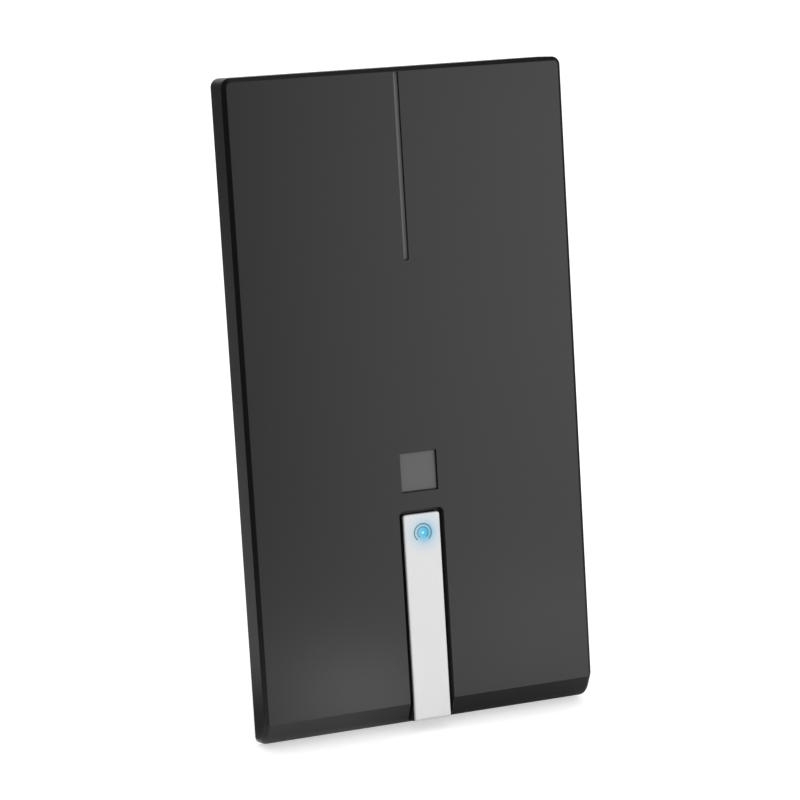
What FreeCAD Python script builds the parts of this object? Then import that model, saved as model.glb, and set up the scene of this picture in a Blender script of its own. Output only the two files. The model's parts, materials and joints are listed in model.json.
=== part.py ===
import FreeCAD, Part
import math
import operator
import os
from types import SimpleNamespace

import Sketcher

# Amplified indoor TV antenna: a flat panel that leans back on a rear foot, with a lit strip in its face.
# Panel frame: X to the right, Y into the panel from its front face, Z up along that face.
# Row frame: +Z up, front towards -Y, origin on the table under the middle of the object's box.

# Driving dimensions, in millimetres, with the lean in degrees
SIZES = {
    # panel
    "panel_width": 130.0,
    "panel_height": 242.0,
    "panel_depth": 13.6,
    "lean_angle": 9.4,
    "edge_chamfer": 1.5,
    "top_corner_radius": 3.2,
    "sweep_drop": 9.5,
    "sweep_depth": 4.7,
    "sweep_foot": 1.15,
    "sweep_roll": 9.0,
    "sweep_edge_radius": 2.4,
    "side_wall": 2.0,
    "face_wall": 2.2,
    "sill_height": 11.0,
    "sill_depth": 9.2,
    "floor_wall": 3.4,
    # features of the face
    "groove_width": 2.0,
    "groove_foot": 172.6,
    "groove_depth": 1.3,
    "badge_width": 14.3,
    "badge_height": 14.8,
    "badge_foot": 88.0,
    "badge_depth": 1.0,
    "channel_width": 17.5,
    "channel_top": 81.4,
    "channel_depth": 4.4,
    "channel_wall": 1.6,
    "channel_corner": 2.0,
    "mouth_depth": 7.6,
    "mouth_top": 9.5,
    # strip and its carrier
    "strip_gap": 1.7,
    "strip_inset": 0.2,
    "strip_thickness": 1.4,
    "strip_foot": 2.4,
    "heel_foot": 1.25,
    "strip_end_radius": 1.2,
    "strip_edge_radius": 0.5,
    "strip_corner": 1.0,
    "lamp_height": 72.5,
    "guide_radius": 2.2,
    "guide_flange": 0.9,
    "guide_flange_thickness": 0.4,
    "carrier_screw_low": 26.0,
    "carrier_screw_high": 54.0,
    # circuit board
    "board_width": 64.0,
    "board_foot": 18.0,
    "board_height": 68.0,
    "board_gap": 1.6,
    "board_thickness": 1.2,
    "board_post_inset": 4.0,
    "board_post_radius": 2.6,
    "lamp_width": 3.2,
    "lamp_depth": 2.8,
    "shield_width": 20.0,
    "shield_height": 34.0,
    "shield_depth": 2.1,
    "shield_sheet": 0.3,
    "shield_inner_edge": 9.0,
    "shield_foot": 40.0,
    # parts on the circuit board
    "chip_side": 5.0,
    "chip_rise": 1.0,
    "chip_row": 10.0,
    "filter_width": 7.0,
    "filter_height": 6.0,
    "filter_rise": 1.4,
    "filter_row": 23.0,
    "passive_width": 0.9,
    "passive_length": 1.6,
    "passive_rise": 0.6,
    "passive_column": 6.0,
    "passive_pitch": 4.0,
    "passive_drop": 2.0,
    "regulator_width": 6.5,
    "regulator_height": 3.6,
    "regulator_rise": 1.7,
    "regulator_column": 8.0,
    "regulator_drop": 10.0,
    "leg_width": 0.8,
    "leg_length": 2.6,
    "leg_rise": 0.4,
    "leg_pitch": 2.3,
    "leg_drop": 3.0,
    "supply_column": 11.0,
    "can_radius": 2.5,
    "can_height": 3.6,
    "can_base_side": 5.3,
    "can_base_rise": 0.8,
    "can_drop": 6.0,
    "choke_side": 5.4,
    "choke_rise": 3.0,
    "choke_mouth_radius": 2.1,
    "choke_mouth_depth": 0.8,
    "choke_drop": 18.0,
    "balun_width": 8.0,
    "balun_height": 6.0,
    "balun_rise": 4.0,
    "balun_hole_radius": 1.0,
    "balun_hole_offset": 2.0,
    "balun_column": 9.0,
    "balun_drop": 2.0,
    "winding_radius": 0.4,
    "winding_overhang": 0.6,
    # radiators and their leads
    "radiator_sheet": 0.4,
    "radiator_rise": 2.2,
    "radiator_band": 12.0,
    "radiator_foot": 92.5,
    "radiator_top_gap": 20.0,
    "feed_offset": 8.0,
    "feed_half_width": 3.0,
    "lead_radius": 0.5,
    "post_radius": 2.2,
    "stake_radius": 0.95,
    "stake_height": 1.0,
    # coaxial socket
    "socket_height": 52.0,
    "socket_base": 12.0,
    "socket_radius": 4.76,
    "socket_reach": 11.0,
    "socket_bore_radius": 3.3,
    "socket_bore_depth": 8.0,
    "socket_lip": 1.0,
    "socket_relief": 0.2,
    "socket_thread_gap": 0.3,
    "contact_radius": 0.9,
    "contact_bore_radius": 0.45,
    "washer_radius": 7.0,
    "washer_thickness": 0.8,
    "nut_across_flats": 12.6,
    "nut_thickness": 2.4,
    # rear cover and its screws
    "rear_plate": 2.0,
    "rear_corner": 2.0,
    "rear_bevel": 0.5,
    "boss_radius": 3.5,
    "boss_inset": 5.5,
    "boss_low": 20.0,
    "boss_top_gap": 16.0,
    "cover_head_radius": 2.5,
    "cover_head_height": 1.0,
    "cover_head_sink": 0.1,
    "cover_shank_radius": 1.25,
    "cover_shank_length": 8.0,
    "small_head_radius": 2.0,
    "small_head_height": 1.1,
    "small_shank_radius": 0.95,
    "small_shank_length": 4.0,
    "recess_width": 0.6,
    "recess_depth": 0.6,
    # foot and rubber pads
    "foot_width": 64.0,
    "foot_reach": 58.0,
    "foot_plate": 3.6,
    "foot_flange": 3.0,
    "foot_flange_top": 36.0,
    "foot_seat": 0.5,
    "foot_rib": 2.4,
    "foot_rib_offset": 26.0,
    "foot_rib_end": 10.0,
    "foot_corner": 6.0,
    "foot_screw_offset": 14.0,
    "foot_screw_height": 27.0,
    "foot_boss_radius": 3.2,
    "foot_boss_height": 2.4,
    "foot_head_radius": 2.8,
    "foot_head_height": 1.6,
    "foot_shank_radius": 1.4,
    "pad_thickness": 1.6,
    "pad_sink": 0.8,
    "pad_width": 12.0,
    "pad_length": 8.0,
    "pad_inset": 4.0,
    "front_pad_gap": 1.5,
    "edge_clearance": 0.3,
    # fits
    "slip": 0.1,
    "screw_slip": 0.3,
    "cut_margin": 2.0,
}

doc = FreeCAD.newDocument("indoor_antenna")
sheet = doc.addObject("Spreadsheet::Sheet", "Sizes")
for row, (alias, number) in enumerate(SIZES.items(), start=1):
    sheet.set(f"A{row}", alias)
    sheet.set(f"B{row}", str(number))
    sheet.setAlias(f"B{row}", alias)
doc.recompute()


class Size:
    """A number together with the sheet formula that gives it."""

    def __init__(self, value, text):
        self.value = value
        self.text = text

    def __add__(self, other):
        return joined(self, "+", other, operator.add)

    def __radd__(self, other):
        return joined(other, "+", self, operator.add)

    def __sub__(self, other):
        return joined(self, "-", other, operator.sub)

    def __rsub__(self, other):
        return joined(other, "-", self, operator.sub)

    def __mul__(self, other):
        return joined(self, "*", other, operator.mul)

    def __rmul__(self, other):
        return joined(other, "*", self, operator.mul)

    def __truediv__(self, other):
        return joined(self, "/", other, operator.truediv)

    def __neg__(self):
        return joined(0, "-", self, operator.sub)


def as_size(number):
    return number if isinstance(number, Size) else Size(float(number), str(float(number)))


def joined(left, sign, right, work):
    left, right = as_size(left), as_size(right)
    return Size(work(left.value, right.value), f"({left.text} {sign} {right.text})")


def turned(function, angle):
    """Sine, cosine or tangent of an angle in degrees."""
    value = getattr(math, function)(math.radians(angle.value))
    return Size(value, f"{function}({angle.text} * 1 deg)")


def bind(item, field, size):
    item.setExpression(field, as_size(size).text)


s = SimpleNamespace(**{alias: Size(number, f"Sizes.{alias}") for alias, number in SIZES.items()})

# Depths and heights that several pieces share
depth = s.panel_depth
half_width = s.panel_width / 2
rear_inner = depth - s.rear_plate
channel_back = s.channel_depth + s.channel_wall
board_front = channel_back + s.board_gap
board_back = board_front + s.board_thickness
board_top = s.board_foot + s.board_height
strip_back = s.strip_inset + s.strip_thickness
strip_half = s.channel_width / 2 - s.strip_gap
strip_top = s.channel_top - s.strip_gap
boss_x = half_width - s.side_wall - s.boss_inset
boss_heights = (s.boss_low, s.panel_height / 2, s.panel_height - s.boss_top_gap)
boss_places = [(side * boss_x, height) for height in boss_heights for side in (-1, 1)]
post_x = s.board_width / 2 - s.board_post_inset
post_places = [(side * post_x, height) for side in (-1, 1)
               for height in (s.board_foot + s.board_post_inset, board_top - s.board_post_inset)]
carrier_screw_places = [(Size(0.0, "0.0"), height) for height in (s.carrier_screw_low, s.carrier_screw_high)]
foot_screw_places = [(side * s.foot_screw_offset, s.foot_screw_height) for side in (-1, 1)]
radiator_back = s.face_wall + s.radiator_rise + s.radiator_sheet
radiator_outer = boss_x - s.boss_radius - s.strip_gap
radiator_top = s.panel_height - s.radiator_top_gap
lead_height = s.radiator_foot + s.feed_half_width
stake_places = [
    (s.feed_offset, s.radiator_foot + 3 * s.feed_half_width),
    (radiator_outer - s.radiator_band / 2, s.radiator_foot + 3 * s.radiator_band),
    (radiator_outer - s.radiator_band / 2, radiator_top - s.radiator_band / 2),
]
socket_end = depth + s.socket_reach
pad_rows = [("front_pad", depth + s.front_pad_gap), ("rear_pad", s.foot_reach - s.pad_inset - s.pad_length)]
seat_face = depth - s.foot_seat
flange_back = seat_face + s.foot_flange
lean_sin = turned("sin", s.lean_angle)
lean_cos = turned("cos", s.lean_angle)
lean_tan = turned("tan", s.lean_angle)


def above_table(at_depth, height):
    """Panel-frame Z of a point that stands a given height above the table."""
    return (at_depth - depth) * lean_tan - s.edge_clearance + as_size(height) / lean_cos


# Row frame: the lowest edge clears the table, and the box is centred from strip to foot
lift = depth * lean_sin + s.edge_clearance * lean_cos
foot_tail = s.foot_reach * lean_cos + above_table(s.foot_reach, s.pad_sink + s.foot_plate) * lean_sin
strip_nose = ((s.strip_inset + s.strip_end_radius) * lean_cos
              + (s.strip_foot + s.strip_end_radius) * lean_sin - s.strip_end_radius)
frame_shift = -(foot_tail + strip_nose) / 2

bodies = []


def new_body(label):
    """An empty sub-part that leans with the panel."""
    body = doc.addObject("PartDesign::Body", label)
    body.Label = label
    body.AllowCompound = True
    turn = FreeCAD.Rotation(FreeCAD.Vector(-1, 0, 0), s.lean_angle.value)
    body.Placement = FreeCAD.Placement(FreeCAD.Vector(), turn)
    bind(body, "Placement.Rotation.Angle", s.lean_angle)
    bind(body, "Placement.Base.y", frame_shift)
    bind(body, "Placement.Base.z", lift)
    bodies.append(body)
    return body


def new_sketch(body, name, role, offset):
    plane = next(item for item in body.Origin.OriginFeatures if item.Role == role)
    sketch = body.newObject("Sketcher::SketchObject", name)
    sketch.AttachmentSupport = [(plane, "")]
    sketch.MapMode = "FlatFace"
    bind(sketch, "AttachmentOffset.Base.z", offset)
    return sketch


def point(corner):
    return FreeCAD.Vector(as_size(corner[0]).value, as_size(corner[1]).value, 0)


def pin_point(sketch, geometry, end, place):
    """Holds one end of a line, or a centre, at its place from the sketch's origin."""
    for kind, size in zip(("DistanceX", "DistanceY"), place):
        index = sketch.addConstraint(Sketcher.Constraint(kind, geometry, end, as_size(size).value))
        bind(sketch, f"Constraints[{index}]", size)


def hold_radius(sketch, geometry, radius):
    index = sketch.addConstraint(Sketcher.Constraint("Radius", geometry, as_size(radius).value))
    bind(sketch, f"Constraints[{index}]", radius)


def polygon(*corners):
    """A closed outline of straight sides."""

    def draw(sketch):
        first = sketch.GeometryCount
        count = len(corners)
        for index in range(count):
            ends = point(corners[index]), point(corners[(index + 1) % count])
            sketch.addGeometry(Part.LineSegment(*ends))
        for index in range(count):
            follower = first + (index + 1) % count
            sketch.addConstraint(Sketcher.Constraint("Coincident", first + index, 2, follower, 1))
            pin_point(sketch, first + index, 1, corners[index])

    return draw


def rectangle(left, right, low, high):
    return polygon((left, low), (right, low), (right, high), (left, high))


def disc(place, radius):
    def draw(sketch):
        circle = Part.Circle(point(place), FreeCAD.Vector(0, 0, 1), as_size(radius).value)
        index = sketch.addGeometry(circle)
        pin_point(sketch, index, 3, place)
        hold_radius(sketch, index, radius)

    return draw


def cross(place, reach, arm):
    """The plus-shaped recess of a screw head."""
    x, z = place
    half = arm / 2
    signs = [(1, 1), (-1, 1), (-1, -1), (1, -1)]
    corners = []
    for index, (right, up) in enumerate(signs):
        long_side = (x + right * reach, z + up * half)
        inner = (x + right * half, z + up * half)
        tall_side = (x + right * half, z + up * reach)
        run = [long_side, inner, tall_side]
        corners += run if index % 2 == 0 else run[::-1]
    return polygon(*corners)


def add_feature(body, kind, name, role, offset, length, reverse, shapes):
    sketch = new_sketch(body, f"{name}_sketch", role, offset)
    for draw in shapes:
        draw(sketch)
    feature = body.newObject(f"PartDesign::{kind}", name)
    feature.Profile = sketch
    feature.Reversed = reverse
    bind(feature, "Length", length)
    before = 0.0 if body.Shape.isNull() else body.Shape.Volume
    doc.recompute()
    if abs(body.Shape.Volume - before) < 1e-6:
        raise RuntimeError(f"{body.Label} {name} changes nothing")
    return feature


def front_pad(body, name, start, end, *shapes):
    """Material between two depths behind the face, drawn as seen from the front."""
    return add_feature(body, "Pad", name, "XZ_Plane", -start, end - start, True, shapes)


def front_cut(body, name, start, end, *shapes):
    return add_feature(body, "Pocket", name, "XZ_Plane", -start, end - start, False, shapes)


def side_pad(body, name, start, end, *shapes):
    """Material between two X positions, drawn in depth and height."""
    return add_feature(body, "Pad", name, "YZ_Plane", as_size(start), end - start, False, shapes)


def side_cut(body, name, start, end, *shapes):
    return add_feature(body, "Pocket", name, "YZ_Plane", as_size(start), end - start, True, shapes)


def plan_pad(body, name, start, end, *shapes):
    """Material between two heights, drawn in X and depth."""
    return add_feature(body, "Pad", name, "XY_Plane", start, end - start, False, shapes)


def plan_cut(body, name, start, end, *shapes):
    return add_feature(body, "Pocket", name, "XY_Plane", start, end - start, True, shapes)


def dress(body, kind, name, size, test):
    """Rounds or bevels the edges of the body's last feature that pass a test of their box."""
    base = body.Tip
    names = [f"Edge{index}" for index, edge in enumerate(base.Shape.Edges, start=1) if test(edge.BoundBox)]
    feature = body.newObject(f"PartDesign::{kind}", name)
    feature.Base = (base, names)
    bind(feature, "Radius" if kind == "Fillet" else "Size", size)
    doc.recompute()
    return feature


def near(number, size, slack=1e-3):
    return abs(number - as_size(size).value) < slack


def along_depth(box):
    return box.XLength < 1e-3 and box.ZLength < 1e-3


def foot_pad_outline(front, grow):
    """Side view of a flat pad under the foot, from the depth of its front edge."""
    low = front - grow
    high = front + s.pad_length + grow
    top = s.pad_thickness + grow
    return polygon((low, above_table(low, 0)), (high, above_table(high, 0)),
                   (high, above_table(high, top)), (low, above_table(low, top)))


def pad_span(side, grow):
    """X range of one pad of a left and right pair."""
    middle = side * (s.foot_width / 2 - s.pad_inset - s.pad_width / 2)
    return middle - s.pad_width / 2 - grow, middle + s.pad_width / 2 + grow


def front_cover():
    body = new_body("front_cover")
    side_pad(body, "shell", -half_width, half_width, polygon(
        (0, s.panel_height),
        (0, s.sweep_drop),
        (s.sweep_depth, s.sweep_foot),
        (depth, 0),
        (depth, s.panel_height)))
    dress(body, "Fillet", "sweep_roll", s.sweep_roll,
          lambda box: near(box.YMin, s.sweep_depth) and near(box.ZMax, s.sweep_foot) and box.YLength < 1e-3)
    dress(body, "Fillet", "top_corners", s.top_corner_radius,
          lambda box: along_depth(box) and near(box.ZMax, s.panel_height) and near(box.YMax, depth))
    dress(body, "Chamfer", "face_bevel", s.edge_chamfer,
          lambda box: box.YMax < 1e-3 and box.ZMax > s.sweep_drop.value + 1)
    dress(body, "Fillet", "sweep_edges", s.sweep_edge_radius,
          lambda box: box.XLength < 1e-3 and box.YLength > 0.5
          and box.ZMax < s.sweep_drop.value + s.slip.value)
    inner = half_width - s.side_wall
    front_cut(body, "cavity", s.face_wall, depth + s.cut_margin,
              rectangle(-inner, inner, s.sill_height, s.panel_height - s.side_wall))
    front_cut(body, "sill_pocket", s.sill_depth, depth + s.cut_margin,
              rectangle(-inner, inner, s.floor_wall, s.sill_height + s.slip))
    trough_half = s.channel_width / 2 + s.channel_wall
    front_pad(body, "trough", s.face_wall - s.slip, channel_back,
              rectangle(-trough_half, trough_half, s.sill_height - s.slip, s.channel_top + s.channel_wall))
    channel_half = s.channel_width / 2
    front_cut(body, "channel", as_size(0), s.channel_depth,
              rectangle(-channel_half, channel_half, -s.cut_margin, s.channel_top))
    dress(body, "Fillet", "channel_corners", s.channel_corner,
          lambda box: along_depth(box) and near(box.ZMax, s.channel_top) and near(box.YMax, s.channel_depth)
          and near(abs(box.XMax), channel_half))
    front_cut(body, "channel_mouth", as_size(0), s.mouth_depth,
              rectangle(-channel_half, channel_half, -s.cut_margin, s.mouth_top))
    groove_half = s.groove_width / 2
    groove_top = s.panel_height - s.edge_chamfer - 2 * s.slip
    front_cut(body, "groove", as_size(0), s.groove_depth,
              rectangle(-groove_half, groove_half, s.groove_foot + groove_half, groove_top))
    front_cut(body, "groove_end", as_size(0), s.groove_depth,
              disc((0, s.groove_foot + groove_half), groove_half))
    badge_half = s.badge_width / 2
    front_cut(body, "badge_recess", as_size(0), s.badge_depth,
              rectangle(-badge_half, badge_half, s.badge_foot, s.badge_foot + s.badge_height))
    front_pad(body, "cover_bosses", s.face_wall - s.slip, rear_inner,
              *[disc(place, s.boss_radius) for place in boss_places])
    hole_start = depth - s.cover_head_sink - s.cover_head_height - s.cover_shank_length - s.slip
    front_cut(body, "cover_screw_holes", hole_start, rear_inner,
              *[disc(place, s.cover_shank_radius + s.slip) for place in boss_places])
    front_pad(body, "board_posts", s.face_wall - s.slip, board_front,
              *[disc(place, s.board_post_radius) for place in post_places])
    front_cut(body, "board_screw_holes", board_back - s.small_shank_length - s.slip, board_front,
              *[disc(place, s.small_shank_radius + s.slip) for place in post_places])
    both_sides = [(side * x, z) for x, z in stake_places for side in (-1, 1)]
    radiator_front = s.face_wall + s.radiator_rise
    front_pad(body, "radiator_posts", s.face_wall - s.slip, radiator_front,
              *[disc(place, s.post_radius) for place in both_sides])
    front_pad(body, "radiator_stakes", radiator_front - s.slip, radiator_back + s.stake_height,
              *[disc(place, s.stake_radius) for place in both_sides])
    front_cut(body, "channel_screw_holes", s.channel_depth, channel_back,
              *[disc(place, s.small_shank_radius + s.screw_slip) for place in carrier_screw_places])
    front_cut(body, "channel_light_hole", s.channel_depth, channel_back,
              disc((0, s.lamp_height), s.guide_radius + s.slip))


def rear_cover():
    body = new_body("rear_cover")
    edge = half_width - s.side_wall - s.slip
    low = s.floor_wall + s.slip
    high = s.panel_height - s.side_wall - s.slip
    front_pad(body, "plate", rear_inner, depth, rectangle(-edge, edge, low, high))
    dress(body, "Fillet", "plate_corners", s.rear_corner, along_depth)
    dress(body, "Chamfer", "plate_bevel", s.rear_bevel,
          lambda box: near(box.YMin, depth) and near(box.YMax, depth))
    front_cut(body, "screw_holes", rear_inner, depth,
              *[disc(place, s.cover_shank_radius + s.screw_slip) for place in boss_places])
    head_face = depth - s.cover_head_sink - s.cover_head_height
    front_cut(body, "head_seats", head_face, depth,
              *[disc(place, s.cover_head_radius + s.screw_slip) for place in boss_places])
    front_cut(body, "socket_hole", rear_inner, depth, disc((0, s.socket_height), s.socket_radius + s.slip))
    half_foot = s.foot_width / 2 + s.slip
    front_cut(body, "foot_seat", seat_face, depth,
              rectangle(-half_foot, half_foot, low - s.cut_margin, s.foot_flange_top + s.slip))
    dress(body, "Fillet", "seat_corners", s.foot_corner + s.slip,
          lambda box: along_depth(box) and near(abs(box.XMax), half_foot)
          and near(box.ZMax, s.foot_flange_top + s.slip))
    front_pad(body, "foot_bosses", rear_inner - s.foot_boss_height, rear_inner + s.slip,
              *[disc(place, s.foot_boss_radius) for place in foot_screw_places])
    front_cut(body, "foot_screw_holes", rear_inner - s.foot_boss_height, depth,
              *[disc(place, s.foot_shank_radius + s.slip) for place in foot_screw_places])


def strip_carrier():
    body = new_body("strip_carrier")
    front_pad(body, "bar", strip_back, s.channel_depth,
              rectangle(-strip_half, strip_half, s.strip_foot, strip_top))
    dress(body, "Fillet", "bar_corners", s.strip_corner,
          lambda box: along_depth(box) and near(box.ZMax, strip_top))
    front_cut(body, "light_hole", strip_back, s.channel_depth,
              disc((0, s.lamp_height), s.guide_radius + s.slip))
    heel_back = s.mouth_depth - s.slip
    heel_top = s.mouth_top - s.slip
    side_pad(body, "heel", -strip_half, strip_half, polygon(
        (strip_back, s.strip_foot),
        (heel_back, s.heel_foot),
        (heel_back, heel_top),
        (strip_back, heel_top)))
    hole_start = channel_back - s.small_shank_length + s.strip_inset
    front_cut(body, "screw_holes", hole_start, s.channel_depth,
              *[disc(place, s.small_shank_radius + s.slip) for place in carrier_screw_places])


def indicator_strip():
    body = new_body("indicator_strip")
    front_pad(body, "plate", s.strip_inset, strip_back,
              rectangle(-strip_half, strip_half, s.strip_foot, strip_top))
    dress(body, "Fillet", "plate_corners", s.strip_corner,
          lambda box: along_depth(box) and near(box.ZMax, strip_top))
    dress(body, "Fillet", "lower_end", s.strip_end_radius,
          lambda box: near(box.YMax, s.strip_inset) and near(box.ZMax, s.strip_foot))
    dress(body, "Fillet", "front_edges", s.strip_edge_radius,
          lambda box: near(box.YMax, s.strip_inset) and box.ZMax > strip_top.value / 2)


def light_guide():
    body = new_body("light_guide")
    front_pad(body, "rod", strip_back, channel_back, disc((0, s.lamp_height), s.guide_radius))
    flange_end = channel_back + s.guide_flange_thickness
    front_pad(body, "flange", channel_back, flange_end,
              disc((0, s.lamp_height), s.guide_radius + s.guide_flange))


def status_lamp():
    body = new_body("status_lamp")
    half = s.lamp_width / 2
    base_face = board_front - s.lamp_depth / 4
    front_pad(body, "base", base_face, board_front,
              rectangle(-half, half, s.lamp_height - s.lamp_depth / 2, s.lamp_height + s.lamp_depth / 2))
    lens_face = channel_back + s.guide_flange_thickness
    front_pad(body, "lens", lens_face, base_face, disc((0, s.lamp_height), s.lamp_depth / 2 - s.slip))


def screws(label, places, head_face, head_height, head_radius, shank_end, shank_radius):
    """A group of like screws driven from behind, each with a cross recess."""
    body = new_body(label)
    front_pad(body, "heads", head_face, head_face + head_height,
              *[disc(place, head_radius) for place in places])
    front_pad(body, "shanks", shank_end, head_face, *[disc(place, shank_radius) for place in places])
    front_cut(body, "recesses", head_face + head_height - s.recess_depth, head_face + head_height,
              *[cross(place, head_radius * 0.6, s.recess_width) for place in places])


def amplifier_board():
    body = new_body("amplifier_board")
    half = s.board_width / 2
    front_pad(body, "laminate", board_front, board_back, rectangle(-half, half, s.board_foot, board_top))
    front_cut(body, "screw_holes", board_front, board_back,
              *[disc(place, s.small_shank_radius + s.screw_slip) for place in post_places])


def block(label, start, end, *shapes):
    """A small part of one extruded shape."""
    body = new_body(label)
    front_pad(body, "block", start, end, *shapes)
    return body


def shielding():
    right = -s.shield_inner_edge
    left = right - s.shield_width
    top = s.shield_foot + s.shield_height
    frame = block("shield_frame", board_back, board_back + s.shield_depth,
                  rectangle(left, right, s.shield_foot, top))
    skin = s.shield_sheet
    front_cut(frame, "inside", board_back, board_back + s.shield_depth,
              rectangle(left + skin, right - skin, s.shield_foot + skin, top - skin))
    block("shield_lid", board_back + s.shield_depth, board_back + s.shield_depth + skin,
          rectangle(left, right, s.shield_foot, top))
    return left, top


def around(x, z, width, height):
    """A rectangle centred on a place."""
    return rectangle(x - width / 2, x + width / 2, z - height / 2, z + height / 2)


def board_parts(shield_left, shield_top):
    middle = shield_left + s.shield_width / 2
    block("amplifier_chip", board_back, board_back + s.chip_rise,
          around(middle, s.shield_foot + s.chip_row, s.chip_side, s.chip_side))
    block("filter_module", board_back, board_back + s.filter_rise,
          around(middle, s.shield_foot + s.filter_row, s.filter_width, s.filter_height))
    small = [(middle + column * s.passive_column, s.shield_foot + row * s.passive_pitch)
             for column in (-1, 1) for row in (1, 2, 3, 4, 7)]
    small += [(s.shield_inner_edge + row * s.passive_pitch, shield_top - s.passive_drop)
              for row in (1, 2, 3, 4)]
    block("chip_parts", board_back, board_back + s.passive_rise,
          *[around(x, z, s.passive_width, s.passive_length) for x, z in small])
    x = s.shield_inner_edge + s.regulator_column
    z = shield_top - s.regulator_drop
    regulator = block("voltage_regulator", board_back, board_back + s.regulator_rise,
                      around(x, z, s.regulator_width, s.regulator_height))
    legs = [(x + column * s.leg_pitch, z - s.leg_drop) for column in (-1, 0, 1)]
    front_pad(regulator, "legs", board_back, board_back + s.leg_rise,
              *[around(leg_x, leg_z, s.leg_width, s.leg_length) for leg_x, leg_z in legs])
    x = s.shield_inner_edge + s.supply_column
    z = shield_top - s.can_drop
    base_face = board_front - s.can_base_rise
    can = block("supply_capacitor", base_face - s.can_height, base_face, disc((x, z), s.can_radius))
    front_pad(can, "base", base_face, board_front, around(x, z, s.can_base_side, s.can_base_side))
    z = shield_top - s.choke_drop
    choke_face = board_front - s.choke_rise
    choke = block("supply_choke", choke_face, board_front, around(x, z, s.choke_side, s.choke_side))
    front_cut(choke, "winding_mouth", choke_face, choke_face + s.choke_mouth_depth,
              disc((x, z), s.choke_mouth_radius))


def balun(shield_top):
    """A two-hole ferrite core on the front of the board, with one turn of wire through its holes."""
    x = -(s.shield_inner_edge + s.balun_column)
    z = shield_top - s.balun_drop
    middle = board_front - s.balun_rise / 2
    bottom = z - s.balun_height / 2
    top = z + s.balun_height / 2
    core = block("balun_core", board_front - s.balun_rise, board_front,
                 around(x, z, s.balun_width, s.balun_height))
    holes = [(x + side * s.balun_hole_offset, middle) for side in (-1, 1)]
    plan_cut(core, "holes", bottom - s.slip, top + s.slip,
             *[disc(place, s.balun_hole_radius) for place in holes])
    winding = new_body("balun_winding")
    wire = 2 * s.winding_radius
    low = bottom - s.winding_overhang
    high = top + s.winding_overhang
    plan_pad(winding, "runs", low, high, *[disc(place, s.winding_radius) for place in holes])
    front_pad(winding, "turns", middle - s.winding_radius, middle + s.winding_radius,
              *[around(x, end, 2 * s.balun_hole_offset, wire) for end in (low, high)])
    front_pad(winding, "tails", middle, board_front,
              *[around(x + side * s.balun_hole_offset, low, wire, wire) for side in (-1, 1)])


def radiator(label, side):
    """One half of the receiving element: a sheet arm that widens to an upright band."""
    inner = s.feed_offset - s.feed_half_width
    tab = s.feed_offset + s.feed_half_width
    band = radiator_outer - s.radiator_band
    arm_low = s.radiator_foot + 5 * s.feed_half_width
    arm_high = arm_low + s.radiator_band
    corners = [(inner, s.radiator_foot), (tab, s.radiator_foot), (tab, arm_low), (radiator_outer, arm_high),
               (radiator_outer, radiator_top), (band, radiator_top), (band, arm_high + s.radiator_band),
               (inner, arm_low + s.radiator_band)]
    body = block(label, radiator_back - s.radiator_sheet, radiator_back,
                 polygon(*[(side * x, z) for x, z in corners]))
    front_cut(body, "stake_holes", radiator_back - s.radiator_sheet, radiator_back,
              *[disc((side * x, z), s.stake_radius + s.slip) for x, z in stake_places])


def feed_leads():
    """Two wires from the radiators over the top of the board to its rear face."""
    body = new_body("feed_leads")
    run_depth = board_back + s.lead_radius
    tail = board_top - 2 * s.feed_half_width
    front_pad(body, "front_runs", radiator_back, run_depth,
              *[disc((side * s.feed_offset, lead_height), s.lead_radius) for side in (-1, 1)])
    plan_pad(body, "down_runs", tail, lead_height,
             *[disc((side * s.feed_offset, run_depth), s.lead_radius) for side in (-1, 1)])


def coax_socket():
    place = (0, s.socket_height)
    bore_floor = socket_end - s.socket_bore_depth
    contact_clear = s.contact_radius + s.slip
    socket = block("coax_socket", board_back, rear_inner,
                   around(as_size(0), s.socket_height, s.socket_base, s.socket_base))
    free_start = depth + s.washer_thickness + s.nut_thickness + s.socket_thread_gap
    front_pad(socket, "neck", rear_inner - s.slip, free_start, disc(place, s.socket_radius - s.socket_relief))
    front_pad(socket, "barrel", free_start, socket_end, disc(place, s.socket_radius))
    front_cut(socket, "bore", bore_floor, socket_end, disc(place, s.socket_bore_radius))
    front_cut(socket, "contact_way", board_back, bore_floor, disc(place, contact_clear + s.screw_slip))
    dress(socket, "Chamfer", "lead_in", s.socket_lip / 2,
          lambda box: near(box.YMin, socket_end) and near(box.XLength, 2 * s.socket_radius))
    lip = socket_end - s.socket_lip
    insulator = block("coax_insulator", bore_floor, lip, disc(place, s.socket_bore_radius - s.slip / 2))
    front_cut(insulator, "contact_bore", bore_floor, lip - s.socket_lip, disc(place, contact_clear))
    front_cut(insulator, "mouth", lip - s.socket_lip, lip, disc(place, s.contact_bore_radius + s.slip))
    contact = block("coax_contact", board_back, lip - s.socket_lip, disc(place, s.contact_radius))
    front_cut(contact, "wire_bore", bore_floor, lip - s.socket_lip, disc(place, s.contact_bore_radius))
    washer = block("coax_washer", depth, depth + s.washer_thickness, disc(place, s.washer_radius))
    front_cut(washer, "hole", depth, depth + s.washer_thickness, disc(place, s.socket_radius + s.slip))
    nut_start = depth + s.washer_thickness
    reach = s.nut_across_flats / (2 * turned("cos", Size(30.0, "30.0")))
    corners = []
    for step in range(6):
        angle = Size(60.0 * step, str(60.0 * step))
        corners.append((reach * turned("cos", angle), s.socket_height + reach * turned("sin", angle)))
    nut = block("coax_nut", nut_start, nut_start + s.nut_thickness, polygon(*corners))
    front_cut(nut, "hole", nut_start, nut_start + s.nut_thickness, disc(place, s.socket_radius + s.slip))


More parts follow.
